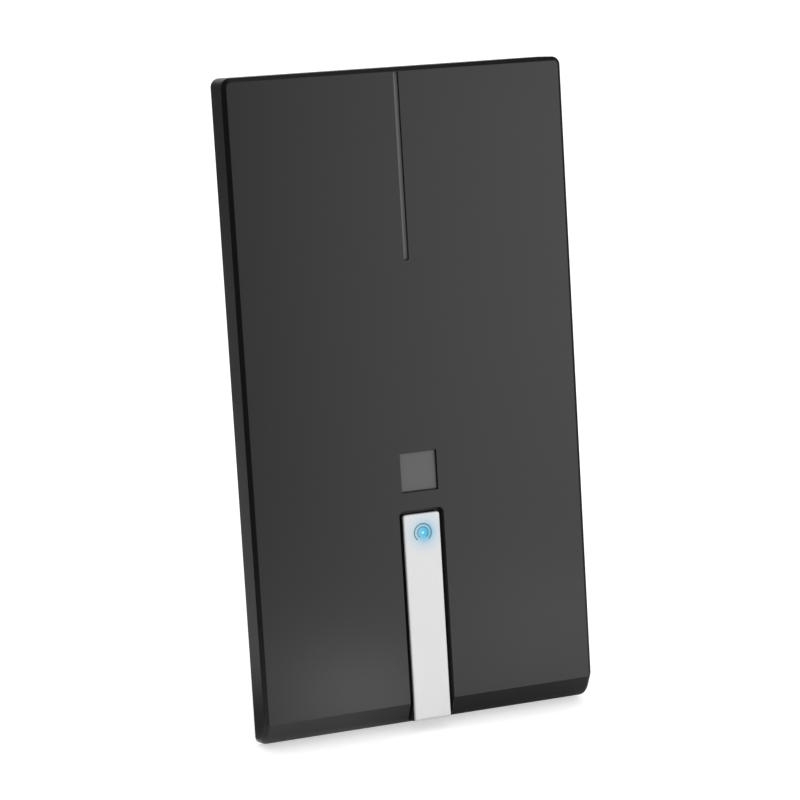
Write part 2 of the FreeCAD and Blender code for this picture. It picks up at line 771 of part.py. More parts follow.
def stand_foot():
    """A moulded bracket: a flange on the rear cover and a plate along the table, tied by two ribs."""
    body = new_body("stand_foot")
    half = s.foot_width / 2
    under = s.pad_sink
    upper = s.pad_sink + s.foot_plate
    side_pad(body, "bracket", -half, half, polygon(
        (depth, above_table(depth, under)),
        (s.foot_reach, above_table(s.foot_reach, under)),
        (s.foot_reach, above_table(s.foot_reach, upper)),
        (flange_back, above_table(flange_back, upper)),
        (flange_back, s.foot_flange_top),
        (seat_face, s.foot_flange_top),
        (seat_face, s.floor_wall + 2 * s.slip),
        (depth, s.floor_wall + 2 * s.slip)))
    rib_end = s.foot_reach - s.foot_rib_end
    rib_top = s.foot_flange_top - s.foot_plate
    rib_outline = polygon(
        (flange_back - s.slip, above_table(flange_back, upper) - s.slip),
        (rib_end, above_table(rib_end, upper) - s.slip),
        (rib_end, above_table(rib_end, upper) + s.foot_rib / 2),
        (flange_back - s.slip, rib_top))
    for side, name in ((-1, "left"), (1, "right")):
        middle = side * s.foot_rib_offset
        side_pad(body, f"rib_{name}", middle - s.foot_rib / 2, middle + s.foot_rib / 2, rib_outline)
    front_cut(body, "screw_holes", seat_face, flange_back,
              *[disc(place, s.foot_shank_radius + s.screw_slip) for place in foot_screw_places])
    for row, front in pad_rows:
        for side, name in ((-1, "left"), (1, "right")):
            side_cut(body, f"{row}_seat_{name}", *pad_span(side, s.slip), foot_pad_outline(front, s.slip))
    dress(body, "Fillet", "tail_corners", s.foot_corner,
          lambda box: near(abs(box.XMax), half) and box.XLength < 1e-3 and near(box.YMin, s.foot_reach)
          and near(box.YMax, s.foot_reach))
    dress(body, "Fillet", "flange_corners", s.foot_corner,
          lambda box: along_depth(box) and near(abs(box.XMax), half) and near(box.ZMax, s.foot_flange_top))


def foot_pads():
    """Two pairs of rubber pads that touch the table."""
    body = new_body("foot_pads")
    for row, front in pad_rows:
        for side, name in ((-1, "left"), (1, "right")):
            side_pad(body, f"{row}_{name}", *pad_span(side, as_size(0)), foot_pad_outline(front, as_size(0)))


front_cover()
rear_cover()
strip_carrier()
indicator_strip()
light_guide()
status_lamp()
amplifier_board()
lid_edges = shielding()
board_parts(*lid_edges)
balun(lid_edges[1])
radiator("radiator_left", -1)
radiator("radiator_right", 1)
feed_leads()
coax_socket()
stand_foot()
foot_pads()
cover_head_face = depth - s.cover_head_sink - s.cover_head_height
screws("cover_screws", boss_places, cover_head_face, s.cover_head_height, s.cover_head_radius,
       cover_head_face - s.cover_shank_length, s.cover_shank_radius)
screws("board_screws", post_places, board_back, s.small_head_height, s.small_head_radius,
       board_back - s.small_shank_length, s.small_shank_radius)
screws("carrier_screws", carrier_screw_places, channel_back, s.small_head_height, s.small_head_radius,
       channel_back - s.small_shank_length + 2 * s.strip_inset, s.small_shank_radius)
screws("foot_screws", foot_screw_places, flange_back, s.foot_head_height, s.foot_head_radius,
       rear_inner - s.foot_boss_height, s.foot_shank_radius)

doc.recompute()
faults = [item.Label for item in doc.Objects if {"Invalid", "Error"} & set(item.State)]
faults += [body.Label for body in bodies if body.Shape.isNull() or not body.Shape.isValid()]
if faults:
    raise RuntimeError(f"failed objects: {faults}")
os.makedirs("parts", exist_ok=True)
for body in bodies:
    body.Shape.exportStep(f"parts/{body.Label}.step")
    print(body.Label, len(body.Shape.Solids), round(body.Shape.Volume, 2))
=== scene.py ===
import json
import math

import bmesh
import bpy
from mathutils import Matrix, Vector


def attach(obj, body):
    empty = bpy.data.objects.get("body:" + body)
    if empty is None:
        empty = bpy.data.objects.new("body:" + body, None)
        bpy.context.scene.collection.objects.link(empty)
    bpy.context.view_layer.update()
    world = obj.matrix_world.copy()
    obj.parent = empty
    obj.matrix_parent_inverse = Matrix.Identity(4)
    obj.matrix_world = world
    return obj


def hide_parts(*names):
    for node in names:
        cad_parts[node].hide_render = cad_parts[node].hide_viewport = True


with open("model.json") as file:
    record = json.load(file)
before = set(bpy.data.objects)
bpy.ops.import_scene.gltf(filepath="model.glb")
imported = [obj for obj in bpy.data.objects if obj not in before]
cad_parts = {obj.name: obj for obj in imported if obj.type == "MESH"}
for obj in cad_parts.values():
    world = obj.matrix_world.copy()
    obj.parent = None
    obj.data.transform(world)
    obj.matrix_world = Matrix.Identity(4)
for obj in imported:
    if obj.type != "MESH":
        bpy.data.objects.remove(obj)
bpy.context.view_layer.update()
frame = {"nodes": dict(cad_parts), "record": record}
scene = bpy.context.scene

# The panel's own frame: X right, Y into the panel from its face, Z up the face, in millimetres
MM = 0.001
LEAN = math.radians(9.4)
PANEL_BASE = Vector((0.0, -29.93512, 2.51720)) * MM
PANEL_TURN = (-LEAN, 0.0, 0.0)
TO_ROW = Matrix.Translation(PANEL_BASE) @ Matrix.Rotation(-LEAN, 4, "X") @ Matrix.Scale(MM, 4)
TO_PANEL = TO_ROW.inverted()

# Sizes of the panel and places on its face, in that frame
PANEL_WIDTH = 130.0
PANEL_HEIGHT = 242.0
PANEL_DEPTH = 13.6
EDGE_BEVEL = 1.5
SILL_HEIGHT = 11.0
GROOVE_SIDES = (-0.95, 0.95)
GROOVE_ENDS = (172.9, 240.35)
GROOVE_DEPTH = 1.3
RECESS_SIDES = (-6.9, 6.8)
RECESS_ENDS = (88.45, 102.35)
RECESS_DEPTH = 1.0
CHANNEL_SIDES = (-8.9, 8.9)
CHANNEL_TOP = 81.6
FACE_SKIN = 1.5  # deeper than the groove and the recess, and short of the inner side of the face
LAMP_HEIGHT = 72.5
SOCKET_HEIGHT = 52.0

# The sockets of a Mix node that hold colours
MIX_FIRST = 6
MIX_SECOND = 7
MIX_RESULT = 2


class Wire:
    """One output of a node. Arithmetic on it adds Math nodes."""

    def __init__(self, owner, socket):
        self.owner = owner
        self.socket = socket

    def other(self, name):
        """Another output of the same node."""
        return Wire(self.owner, self.socket.node.outputs[name])

    def math(self, operation, first, *rest):
        return self.owner.node("ShaderNodeMath", {"operation": operation}, dict(enumerate((first, *rest))))

    def __add__(self, other):
        return self.math("ADD", self, other)

    def __radd__(self, other):
        return self.math("ADD", other, self)

    def __sub__(self, other):
        return self.math("SUBTRACT", self, other)

    def __rsub__(self, other):
        return self.math("SUBTRACT", other, self)

    def __mul__(self, other):
        return self.math("MULTIPLY", self, other)

    def __rmul__(self, other):
        return self.math("MULTIPLY", other, self)

    def __truediv__(self, other):
        return self.math("DIVIDE", self, other)

    def __abs__(self):
        return self.math("ABSOLUTE", self)

    def __lt__(self, other):
        return self.math("LESS_THAN", self, other)

    def __gt__(self, other):
        return self.math("GREATER_THAN", self, other)

    def root(self):
        return self.math("SQRT", self)

    def most(self, other):
        return self.math("MAXIMUM", self, other)

    def ramp(self, low, high):
        """0 below low, 1 above high and smooth between."""
        return self.owner.node("ShaderNodeMapRange", {"interpolation_type": "SMOOTHSTEP"},
                               {"Value": self, "From Min": low, "From Max": high})


class Nodes:
    """A node tree and the one way to add any node to it."""

    def __init__(self, tree):
        self.tree = tree

    def node(self, kind, settings=(), sockets=(), out=0):
        """Adds a node: its settings first, then the values or links of its sockets."""
        item = self.tree.nodes.new(kind)
        for name, value in dict(settings).items():
            setattr(item, name, value)
        for key, value in dict(sockets).items():
            self.feed(item.inputs[key], value)
        return Wire(self, item.outputs[out] if item.outputs else None)

    def feed(self, target, value):
        """Links a wire to a socket, or sets the socket to a value."""
        if isinstance(value, Wire):
            self.tree.links.new(value.socket, target)
        else:
            target.default_value = value

    def axes(self, vector):
        """The three parts of a vector."""
        split = self.node("ShaderNodeSeparateXYZ", sockets={"Vector": vector})
        return [split.other(axis) for axis in "XYZ"]


class Finish(Nodes):
    """A node material for one of the object's finishes."""

    def __init__(self, name, **constants):
        self.name = name
        self.material = bpy.data.materials.new(name)
        self.material.use_nodes = True
        super().__init__(self.material.node_tree)
        self.shader = next(item for item in self.tree.nodes if item.type == "BSDF_PRINCIPLED")
        self.set(**constants)

    def set(self, **values):
        """Sets or links sockets of the shader: base_color stands for Base Color."""
        for name, value in values.items():
            label = name.replace("_", " ").title().replace("Ior", "IOR")
            self.feed(self.shader.inputs[label], value)

    def place(self):
        """Object coordinates turned into the panel's frame, in millimetres."""
        coords = self.node("ShaderNodeTexCoord", out="Object")
        return self.node("ShaderNodeMapping", {"vector_type": "TEXTURE"}, {
            "Vector": coords, "Location": PANEL_BASE, "Rotation": PANEL_TURN, "Scale": (MM, MM, MM)})

    def noise(self, vector, size, detail=2.0):
        """Noise from 0 to 1 with features of about a size in millimetres."""
        return self.node("ShaderNodeTexNoise", sockets={
            "Vector": vector, "Scale": 1.0 / size, "Detail": detail}, out="Fac")

    def toned(self, tone, shade):
        """A colour whose lightness follows a number."""
        red, green, blue = (part * shade for part in tone)
        return self.node("ShaderNodeCombineColor", sockets={"Red": red, "Green": green, "Blue": blue})

    def blend(self, factor, first, second):
        """From the first colour to the second as the factor goes from 0 to 1."""
        first, second = (tone if isinstance(tone, Wire) else (*tone, 1.0) for tone in (first, second))
        return self.node("ShaderNodeMix", {"data_type": "RGBA"}, {
            "Factor": factor, MIX_FIRST: first, MIX_SECOND: second}, out=MIX_RESULT)

    def bump(self, height, strength, distance):
        """Relief from a height, with its distance in millimetres."""
        self.set(normal=self.node("ShaderNodeBump", sockets={
            "Height": height, "Strength": strength, "Distance": distance * MM}))


class Shaper(Nodes):
    """A Geometry Nodes tree with named inputs. It ends as one mesh in one material."""

    def __init__(self, name, **inputs):
        super().__init__(bpy.data.node_groups.new(name, "GeometryNodeTree"))
        sockets = self.tree.interface
        sockets.new_socket("Geometry", in_out="OUTPUT", socket_type="NodeSocketGeometry")
        self.keys = {}
        for label, kind in {"Geometry": "Geometry", **inputs, "Material": "Material"}.items():
            socket = sockets.new_socket(label, in_out="INPUT", socket_type="NodeSocket" + kind)
            self.keys[label] = socket.identifier
        self.start = self.node("NodeGroupInput")

    def input(self, label):
        return self.start.other(label)

    def end(self, geometry):
        whole = self.node("GeometryNodeRealizeInstances", sockets={"Geometry": geometry})
        dressed = self.node("GeometryNodeSetMaterial", sockets={
            "Geometry": whole, "Material": self.input("Material")})
        self.node("NodeGroupOutput", sockets={"Geometry": dressed})
        return self


def grey(value):
    return (value, value, value)


WHITE = grey(1.0)


def within(value, low, high, soft):
    """1 between two places and 0 outside, with soft edges."""
    return value.ramp(low - soft, low + soft) * (1.0 - value.ramp(high - soft, high + soft))


def moulded_plastic(name, tone, roughness, grain):
    """Matt moulded plastic: a fine eroded grain with slightly cloudy colour and gloss."""
    finish = Finish(name)
    place = finish.place()
    cloud = finish.noise(place, 22.0, 3.0)
    speck = finish.noise(place, 0.35)
    finish.set(base_color=finish.toned(tone, 0.9 + 0.12 * cloud + 0.1 * speck))
    finish.set(roughness=roughness - 0.04 + 0.05 * cloud + 0.05 * speck)
    finish.bump(speck + 0.5 * finish.noise(place, 0.9), grain, 0.03)
    return finish


def metal(name, tone, roughness, streak):
    """Plated or rolled metal with fine streaks and patchy gloss."""
    finish = Finish(name, metallic=1.0)
    place = finish.place()
    cloud = finish.noise(place, 4.0, 3.0)
    stretched = finish.node("ShaderNodeMapping", sockets={"Vector": place, "Scale": streak})
    line = finish.noise(stretched, 0.4, 3.0)
    finish.set(base_color=finish.toned(tone, 0.88 + 0.12 * cloud + 0.08 * line))
    finish.set(roughness=roughness - 0.06 + 0.08 * cloud + 0.08 * line)
    finish.bump(line, 0.06, 0.02)
    return finish


def front_finish():
    """The panel's satin black, paler in the groove and the square recess, with painted light that makes the
    walls of the strip's channel paler.
    """
    finish = Finish("front_plastic", specular_ior_level=0.485)
    place = finish.place()
    x, depth, z = finish.axes(place)
    cloud = finish.noise(place, 30.0, 3.0)
    speck = finish.noise(place, 0.4)

    def floor_at(bottom):
        return depth.ramp(bottom - 0.25, bottom - 0.1)

    groove = within(x, *GROOVE_SIDES, 0.05) * within(z, *GROOVE_ENDS, 0.08) * floor_at(GROOVE_DEPTH)
    recess = within(x, *RECESS_SIDES, 0.1) * within(z, *RECESS_ENDS, 0.1) * floor_at(RECESS_DEPTH)
    # painted light: the walls of the strip's channel are made paler so the shaded gap beside the strip reads
    # lighter
    channel = within(x, *CHANNEL_SIDES, 0.05) * (z < CHANNEL_TOP) * depth.ramp(0.2, 0.5)
    pale = 0.03 * channel + (groove * 0.14 + recess * 0.08) * (depth < FACE_SKIN)
    shade = (0.93 + 0.08 * cloud + 0.06 * speck) * (0.006 + pale)
    finish.set(base_color=finish.toned((1.0, 1.0, 1.01), shade))
    finish.set(roughness=0.36 + 0.05 * cloud + 0.05 * speck)
    finish.bump(speck, 0.12, 0.02)
    return finish


def strip_finish():
    """Light-passing pale plastic with the signal icon printed on it, and the light of the lamp behind
    painted on it as glow and colour.
    """
    finish = Finish("strip_plastic", specular_ior_level=0.4, emission_strength=1.0)
    place = finish.place()
    x, depth, z = finish.axes(place)
    cloud = finish.noise(place, 12.0, 3.0)
    speck = finish.noise(place, 0.6)
    front = 1.0 - depth.ramp(0.45, 0.75)
    # the icon: two arcs round the lamp, a hair off its middle and open at the bottom
    side, rise = x - 0.12, z - LAMP_HEIGHT - 0.12
    radius = (side * side + rise * rise).root()
    drawn = (rise + 0.95 * abs(side)).ramp(-0.7, -0.2)
    arcs = (within(radius, 1.88, 2.22, 0.14) * 0.9 + within(radius, 3.1, 3.52, 0.14)) * drawn
    # the painted light of the lamp behind: a bright core, a glow round it and a wider, fainter one, both as
    # glow and in the strip's colour
    off_x, off_z = side - 0.75, rise + 0.05
    spread = (off_x * off_x + off_z * off_z).root()
    glow = (0.58 * (1.0 - spread.ramp(0.6, 5.2)) + 0.42 * (1.0 - spread.ramp(0.4, 9.6))) * front
    core = (1.0 - radius.ramp(0.15, 0.8)) * front
    pale = finish.toned((0.715, 0.716, 0.72), 0.985 + 0.02 * cloud + 0.01 * speck)
    # painted light: the strip's colour turns blue under the lamp's glow
    lit = finish.blend(glow * 0.95, pale, (0.015, 0.235, 0.38))
    finish.set(base_color=finish.blend(arcs * front * 0.9, lit, (0.032, 0.07, 0.095)))
    shine = finish.blend(glow * (1.0 - 0.85 * arcs), grey(0.0), (0.03, 0.22, 0.33))
    finish.set(emission_color=finish.blend(core, shine, (0.3, 0.72, 0.75)))
    finish.set(roughness=0.34 + 0.06 * cloud + 0.04 * speck)
    finish.bump(speck, 0.05, 0.02)
    return finish


def board_finish():
    """Solder mask over copper tracks, with tinned vias."""
    finish = Finish("board_laminate")
    place = finish.place()
    cells = finish.node("ShaderNodeTexVoronoi", {"distance": "MANHATTAN"},
                        {"Vector": place, "Scale": 0.28, "Randomness": 0.35}, out="Distance")
    tracks = within(cells, 0.42, 0.56, 0.02)
    spots = finish.node("ShaderNodeTexVoronoi", sockets={"Vector": place, "Scale": 0.22}, out="Distance")
    vias = 1.0 - spots.ramp(0.08, 0.11)
    cloud = finish.noise(place, 9.0)
    mask = finish.blend(cloud, (0.018, 0.085, 0.032), (0.026, 0.11, 0.042))
    traced = finish.blend(tracks * 0.8, mask, (0.05, 0.19, 0.075))
    finish.set(base_color=finish.blend(vias, traced, (0.55, 0.5, 0.34)))
    finish.set(roughness=0.32 + 0.1 * cloud - 0.08 * vias)
    finish.bump(tracks + vias, 0.2, 0.03)
    return finish


def clear_finish():
    """The clear rod that carries the lamp's light."""
    finish = Finish("clear_plastic", transmission_weight=1.0, ior=1.49)
    cloud = finish.noise(finish.place(), 1.2, 3.0)
    finish.set(base_color=finish.blend(cloud, (0.86, 0.93, 0.96), (0.95, 0.98, 1.0)))
    finish.set(roughness=0.05 + 0.1 * cloud)
    return finish


# Every finish by the name of its slot. A plastic has a colour, a roughness and a grain, and a metal has a
# colour, a roughness and the scale of its streaks.
FINISHES = {finish.name: finish.material for finish in (
    front_finish(),
    moulded_plastic("rear_plastic", grey(0.026), 0.52, 0.5),
    moulded_plastic("carrier_plastic", grey(0.03), 0.5, 0.2),
    strip_finish(),
    clear_finish(),
    moulded_plastic("lamp_epoxy", (0.45, 0.66, 0.8), 0.15, 0.02),
    board_finish(),
    moulded_plastic("chip_black", grey(0.025), 0.45, 0.25),
    moulded_plastic("ceramic_tan", (0.4, 0.31, 0.21), 0.5, 0.1),
    moulded_plastic("ferrite_grey", grey(0.06), 0.6, 0.4),
    metal("tinned_sheet", (0.68, 0.68, 0.66), 0.32, (1.0, 1.0, 0.06)),
    metal("radiator_sheet", (0.78, 0.78, 0.79), 0.36, (0.05, 1.0, 1.0)),
    metal("copper_wire", (0.72, 0.34, 0.17), 0.3, (1.0, 1.0, 0.2)),
    metal("nickel_plate", (0.62, 0.6, 0.56), 0.24, (0.3, 1.0, 0.3)),
    metal("contact_brass", (0.78, 0.58, 0.26), 0.28, (1.0, 0.1, 1.0)),
    moulded_plastic("insulator_white", grey(0.82), 0.42, 0.05),
    metal("screw_steel", (0.09, 0.09, 0.095), 0.4, (0.3, 1.0, 0.3)),
    moulded_plastic("foot_plastic", grey(0.026), 0.5, 0.5),
    moulded_plastic("pad_rubber", grey(0.02), 0.75, 0.5),
)}
SLOT_OF = {entry["node"]: entry["material_slot"] for entry in frame["record"]["subparts"]}


def put_finish(mesh, node):
    """Gives a mesh the finish of a CAD node."""
    mesh.materials.clear()
    mesh.materials.append(FINISHES[SLOT_OF[node]])


def finished(name, mesh, node):
    """Makes a piece that stands for a CAD node, in that node's finish."""
    piece = bpy.data.objects.new(name, mesh)
    scene.collection.objects.link(piece)
    put_finish(mesh, node)
    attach(piece, "root")
    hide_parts(node)


def plain_mesh(name, mesh, kind, settings, group=None):
    """The mesh after one modifier, as a plain mesh."""
    carrier = bpy.data.objects.new(name, mesh)
    modifier = carrier.modifiers.new(name, kind)
    if group:
        modifier.node_group = group
    for key, value in settings.items():
        if group:
            modifier[key] = value
        else:
            setattr(modifier, key, value)
    scene.collection.objects.link(carrier)
    bpy.context.view_layer.update()
    graph = bpy.context.evaluated_depsgraph_get()
    result = bpy.data.meshes.new_from_object(carrier.evaluated_get(graph), depsgraph=graph)
    bpy.data.objects.remove(carrier)
    result.name = name
    return result


def shaped(name, mesh, shaper, node, **inputs):
    """The plain mesh that a tree makes of a mesh, in the finish of a CAD node."""
    inputs["Material"] = FINISHES[SLOT_OF[node]]
    settings = {shaper.keys[label]: value for label, value in inputs.items()}
    return plain_mesh(name, mesh, "NODES", settings, shaper.tree)


def crisp(name, shape, angle):
    """A shape as a mesh with smooth faces that break at edges sharper than an angle in degrees."""
    for face in shape.faces:
        face.smooth = True
    for edge in shape.edges:
        edge.smooth = not (edge.is_manifold and edge.calc_face_angle(0.0) > math.radians(angle))
    mesh = bpy.data.meshes.new(name)
    shape.to_mesh(mesh)
    shape.free()
    return plain_mesh(name, mesh, "WEIGHTED_NORMAL", {"keep_sharp": True, "weight": 60})


# A copy of a CAD mesh: what counts as one point, in metres, as one flat face and as a sharp edge
ONE_POINT = 2e-6
ONE_FACE = math.radians(0.4)
SHARP_EDGE = math.radians(24.0)


def softened(name, node, *passes):
    """A copy of a CAD node's mesh with its sharp edges rounded, as a mould leaves them.

    Each pass gives a width in millimetres and a test of the middle of an edge, in the panel's frame.
    """
    shape = bmesh.new()
    shape.from_mesh(frame["nodes"][node].data)
    bmesh.ops.remove_doubles(shape, verts=shape.verts, dist=ONE_POINT)
    bmesh.ops.dissolve_limit(shape, angle_limit=ONE_FACE, verts=shape.verts, edges=shape.edges)
    for width, test in passes:
        sharp = [edge for edge in shape.edges if edge.is_manifold and edge.calc_face_angle(0.0) > SHARP_EDGE
                 and test(TO_PANEL @ ((edge.verts[0].co + edge.verts[1].co) / 2))]
        bmesh.ops.bevel(shape, geom=sharp, offset=width * MM, offset_type="OFFSET", segments=3, profile=0.5,
                        affect="EDGES", clamp_overlap=True)
    return crisp(name, shape, 50.0)


def any_edge(place):
    return True


def rim_edge(place):
    """The edge between the bevel round the face and the outer walls, above the sill."""
    x, depth, z = place
    by_wall = abs(x) > PANEL_WIDTH / 2 - 5.0 or z > PANEL_HEIGHT - 5.0
    return by_wall and abs(depth - EDGE_BEVEL) < 0.1 and z > SILL_HEIGHT + 3.0


def outer_edge(place):
    """Edges of the front cover that show from outside."""
    x, depth, z = place
    if depth < EDGE_BEVEL - 0.1 or depth > PANEL_DEPTH - 0.1:
        return True
    return abs(x) > PANEL_WIDTH / 2 - 0.3 or z > PANEL_HEIGHT - 0.3 or z < SILL_HEIGHT - 0.8


def ring(depth, radius, count=72):
    """Points round the depth axis. The depth and the radius may follow the angle."""
    points = []
    for step in range(count):
        angle = math.tau * step / count
        reach = radius(angle) if callable(radius) else radius
        along = depth(angle) if callable(depth) else depth
        points.append((reach * math.sin(angle), along, reach * math.cos(angle)))
    return points


def turned(name, rings, looped=True):
    """A closed skin over rings: it runs back to the first ring, or ends in a cap at each end."""
    shape = bmesh.new()
    loops = [[shape.verts.new(point) for point in points] for points in rings]
    pairs = list(zip(loops, loops[1:]))
    if looped:
        pairs.append((loops[-1], loops[0]))
    else:
        shape.faces.new(loops[0])
        shape.faces.new(loops[-1])
    for first, second in pairs:
        for index in range(len(first)):
            after = (index + 1) % len(first)
            shape.faces.new((first[index], first[after], second[after], second[index]))
    bmesh.ops.recalc_face_normals(shape, faces=shape.faces)
    return crisp(name, shape, 35.0)


def thread_tree():
    """Cuts a right-hand thread between two depths into a shape turned round the depth axis."""
    tree = Shaper("cut_thread", Pitch="Float", Depth="Float", Core="Float", Low="Float", High="Float")
    x, y, z = tree.axes(tree.node("GeometryNodeInputPosition"))
    radius = (x * x + z * z).root()
    turn = x.math("ARCTAN2", x, z) / math.tau
    tooth = x.math("PINGPONG", y / tree.input("Pitch") - turn, 0.5) * 2.0
    run_out = within(y, tree.input("Low"), tree.input("High"), 0.3)
    shrink = 1.0 - tooth * run_out * tree.input("Depth") / radius.most(0.01)
    moved = tree.node("ShaderNodeCombineXYZ", sockets={"X": x * shrink, "Y": y, "Z": z * shrink})
    cut = tree.node("GeometryNodeSetPosition", sockets={
        "Geometry": tree.input("Geometry"), "Selection": radius > tree.input("Core"), "Position": moved})
    return tree.end(cut)


def screw_tree():
    """Puts a screw at each point, each stopped at its own angle."""
    tree = Shaper("set_screws", Screw="Object", Seed="Int")
    points = tree.node("GeometryNodeMeshToPoints", sockets={"Mesh": tree.input("Geometry")})
    screw = tree.node("GeometryNodeObjectInfo", sockets={"Object": tree.input("Screw")}, out="Geometry")
    lowest, highest, number = 2, 3, 1  # the Random Value node's sockets for plain numbers
    angle = tree.node("FunctionNodeRandomValue", {"data_type": "FLOAT"},
                      {lowest: 0.0, highest: math.tau, "Seed": tree.input("Seed")}, out=number)
    spin = tree.node("ShaderNodeCombineXYZ", sockets={"Y": angle})
    return tree.end(tree.node("GeometryNodeInstanceOnPoints", sockets={
        "Points": points, "Instance": screw, "Rotation": spin}))


THREAD = thread_tree()
SCREWS = screw_tree()


def across_flats(size):
    """Radius of a six-sided outline at an angle."""
    def radius(angle):
        return size / 2 / math.cos((angle + math.pi / 6) % (math.pi / 3) - math.pi / 6)
    return radius


def square(side):
    """Radius of a square outline at an angle."""
    def radius(angle):
        return side / 2 / max(abs(math.sin(angle)), abs(math.cos(angle)))
    return radius


# A screw: points in a ring, rings in a turn of thread, the length of its tip, its head from the seat up as
# shares of height and radius, and its recess as millimetres below the top and shares of the cross
SCREW_RING = 64
TURN_RINGS = 6
SCREW_TIP = 0.8
SCREW_HEAD = ((0.0, 0.93), (0.1, 1.0), (0.35, 1.0), (0.6, 0.965), (0.8, 0.89), (0.93, 0.8), (1.0, 0.68))
SCREW_RECESS = ((0.0, 1.0), (0.06, 0.96), (0.55, 0.66), (0.6, 0.1))


def cross_recess(reach):
    """Radius of a cross outline whose arms reach two steps of a screw's ring to each side."""
    half = reach * math.tan(2 * math.tau / SCREW_RING)

    def radius(angle):
        wide, narrow = sorted((abs(math.sin(angle)), abs(math.cos(angle))), reverse=True)
        return min(reach / wide, half / max(narrow, 1e-6))
    return radius


def screw_set(name, node, places, seat, head, shank, pitch, seed):
    """Cross-head screws driven from behind to a seat. Head and shank give radius and length."""
    (head_radius, height), (shank_radius, length) = head, shank
    cross = cross_recess(head_radius * 0.6)
    start = SCREW_TIP - length
    steps = math.ceil((length - 1.0) / pitch * TURN_RINGS)
    outline = [(-length, 0.3 * shank_radius), (0.3 - length, 0.8 * shank_radius)]
    outline += [(start - start * step / steps, shank_radius) for step in range(steps + 1)]
    outline += [(height * rise, head_radius * reach) for rise, reach in SCREW_HEAD]
    rings = [ring(depth, radius, SCREW_RING) for depth, radius in outline]
    for sink, share in SCREW_RECESS:
        rings.append(ring(height - sink, lambda angle: cross(angle) * share, SCREW_RING))
    blank = turned(name, rings, looped=False)
    threaded = shaped(name, blank, THREAD, node, Pitch=pitch, Depth=0.22 * shank_radius,
                      Core=0.85 * shank_radius, Low=0.9 - length, High=-0.7)
    pattern = bpy.data.objects.new(name, threaded)
    points = bpy.data.meshes.new(name)
    points.from_pydata([(x, seat, z) for x, z in places], [], [])
    mesh = shaped(name, points, SCREWS, node, Screw=pattern, Seed=seed)
    bpy.data.objects.remove(pattern)
    mesh.transform(TO_ROW)
    finished(name, mesh, node)


def both_sides(offset, *heights):
    """Places left and right of the panel's middle."""
    return [(side * offset, height) for side in (-1, 1) for height in heights]


def at_socket(mesh):
    """Moves a mesh turned round the depth axis to the socket's place."""
    mesh.transform(TO_ROW @ Matrix.Translation((0.0, 0.0, SOCKET_HEIGHT)))
    return mesh


def socket_barrel():
    """The threaded coaxial barrel on its square base, bored for the insulator."""
    base, flange, mouth = 8.8, 11.6, 24.6  # depths of the base's front and back and of the open end
    hole, bore, bore_floor = 1.3, 3.3, 16.6  # radii of the contact's hole and the bore, and its floor
    neck, thread = 4.56, 4.76  # radii
    thread_low, thread_high = 17.1, 24.0
    side, slope = 12.0, 0.3  # of the base
    steps = 70
    rings = [(base, hole), (bore_floor, hole), (bore_floor, bore), (mouth - 0.2, bore), (mouth, bore + 0.2)]
    rings += [(mouth, 4.2), (mouth - 0.5, thread)]
    rings += [(thread_high - (thread_high - thread_low) * step / steps, thread) for step in range(steps + 1)]
    rings += [(thread_low - 0.05, neck), (flange, neck), (flange, square(side - 2 * slope))]
    rings += [(flange - slope, square(side)), (base, square(side))]
    blank = turned("socket_barrel", [ring(depth, radius) for depth, radius in rings])
    mesh = shaped("socket_barrel", blank, THREAD, "coax_socket", Pitch=0.794, Depth=0.42, Core=4.6,
                  Low=thread_low + 0.5, High=thread_high - 0.1)
    finished("socket_barrel", at_socket(mesh), "coax_socket")


def socket_nut():
    """A six-sided nut whose corners are turned off at both faces."""
    low, high = 14.4, 16.8
    thread, slope, face = 4.86, 0.24, 6.12  # radius of the bore, its bevel and the faces
    flats = across_flats(12.6)

    def turned_off(angle):
        return (flats(angle) - face) * math.tan(math.radians(30.0))

    rings = [(low, thread + slope), (low, face), (lambda angle: low + turned_off(angle), flats),
             (lambda angle: high - turned_off(angle), flats), (high, face), (high, thread + slope),
             (high - slope, thread), (low + slope, thread)]
    mesh = turned("socket_nut", [ring(depth, radius) for depth, radius in rings])
    finished("socket_nut", at_socket(mesh), "coax_nut")


# Moulded and stamped pieces, each with the CAD node it stands for and how wide its edges are rounded
ROUNDED = [
    ("panel_front", "front_cover", (0.9, rim_edge), (0.12, outer_edge)),
    ("panel_rear", "rear_cover", (0.15, any_edge)),
    ("strip_face", "indicator_strip", (0.12, any_edge)),
    ("strip_backing", "strip_carrier", (0.15, any_edge)),
    ("foot_bracket", "stand_foot", (0.4, any_edge)),
    ("table_pads", "foot_pads", (0.5, any_edge)),
    ("socket_washer", "coax_washer", (0.15, any_edge)),
]
for name, node, *passes in ROUNDED:
    finished(name, softened(name, node, *passes), node)
socket_barrel()
socket_nut()
screw_set("cover_screw_set", "cover_screws", both_sides(57.5, 20.0, 121.0, 226.0),
          seat=12.5, head=(2.5, 1.0), shank=(1.25, 8.0), pitch=1.0, seed=3)
screw_set("foot_screw_set", "foot_screws", both_sides(14.0, 27.0),
          seat=16.1, head=(2.8, 1.6), shank=(1.4, 6.9), pitch=1.1, seed=5)
screw_set("board_screw_set", "board_screws", both_sides(28.0, 22.0, 82.0),
          seat=8.8, head=(2.0, 1.1), shank=(0.95, 4.0), pitch=0.8, seed=8)
screw_set("carrier_screw_set", "carrier_screws", [(0.0, 26.0), (0.0, 54.0)],
          seat=6.0, head=(2.0, 1.1), shank=(0.95, 3.6), pitch=0.8, seed=9)

for node, item in frame["nodes"].items():
    put_finish(item.data, node)

